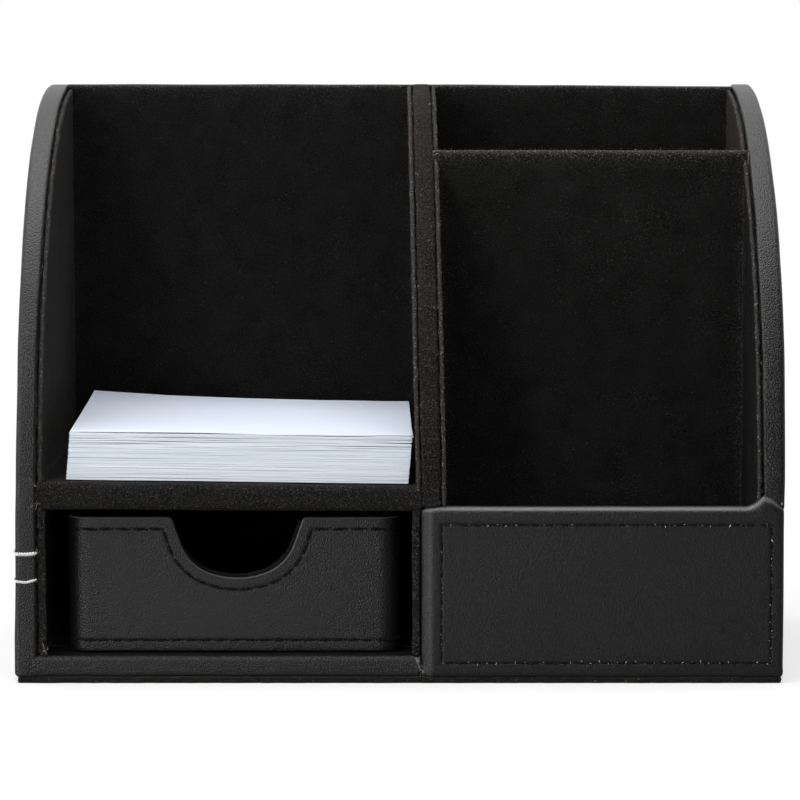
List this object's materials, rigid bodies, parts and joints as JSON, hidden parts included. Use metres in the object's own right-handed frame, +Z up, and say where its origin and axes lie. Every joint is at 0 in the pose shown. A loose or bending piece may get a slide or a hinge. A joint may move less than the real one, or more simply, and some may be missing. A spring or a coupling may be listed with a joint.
{
  "type": "memo pad holder with drawer",
  "caption": "Desk organizer with a memo pad tray over a sliding drawer and two open pockets, boards wrapped in black leather and lined with velvet.",
  "frame": {"origin": "middle of the underside, where the felt meets the desk", "axes": "+Z up, the open front faces -Y, +X to the right as seen from the front"},
  "size_m": [0.2, 0.113, 0.154],
  "materials": {
    "leather": "satin grained",
    "velvet": "short pile",
    "felt": "pressed felt",
    "board": "matte grey board",
    "paper": "uncoated",
    "black_thread": "twisted thread",
    "white_thread": "twisted thread"
  },
  "bodies": {
    "case": {"base_felt": "felt", "base_board": "board", "base_leather": "leather", "floor_lining": "velvet", "left_side_board": "board", "left_side_leather": "leather", "left_side_seams": "white_thread", "right_side_board": "board", "right_side_leather": "leather", "right_side_seams": "white_thread", "back_board": "board", "back_leather": "leather", "divider_board": "board", "divider_velvet": "velvet", "shelf_board": "board", "shelf_velvet": "velvet", "partition_board": "board", "partition_velvet": "velvet", "front_panel_board": "board", "front_panel_leather": "leather", "front_panel_seam": "black_thread", "memo_bay_left_lining": "velvet", "memo_bay_right_lining": "velvet", "memo_bay_back_lining": "velvet", "drawer_bay_left_lining": "velvet", "drawer_bay_right_lining": "velvet", "drawer_bay_back_lining": "velvet", "front_pocket_left_lining": "velvet", "front_pocket_right_lining": "velvet", "front_pocket_front_lining": "velvet", "rear_pocket_left_lining": "velvet", "rear_pocket_right_lining": "velvet", "rear_pocket_back_lining": "velvet"},
    "drawer": {"drawer_front_board": "board", "drawer_back_board": "board", "drawer_left_board": "board", "drawer_right_board": "board", "drawer_bottom_board": "board", "drawer_leather": "leather", "drawer_lining": "velvet", "drawer_seams": "black_thread"},
    "memo_paper": {"memo_block": "paper", "memo_loose_sheets": "paper"}
  },
  "joints": [
    {"name": "drawer_slide", "type": "slide", "parent": "case", "child": "drawer", "axis": [0, -1, 0], "range_m": [0, 0.106]},
    {"name": "memo_paper_slide", "type": "slide", "parent": "case", "child": "memo_paper", "axis": [0, -1, 0], "range_m": [0, 0.098]}
  ]
}
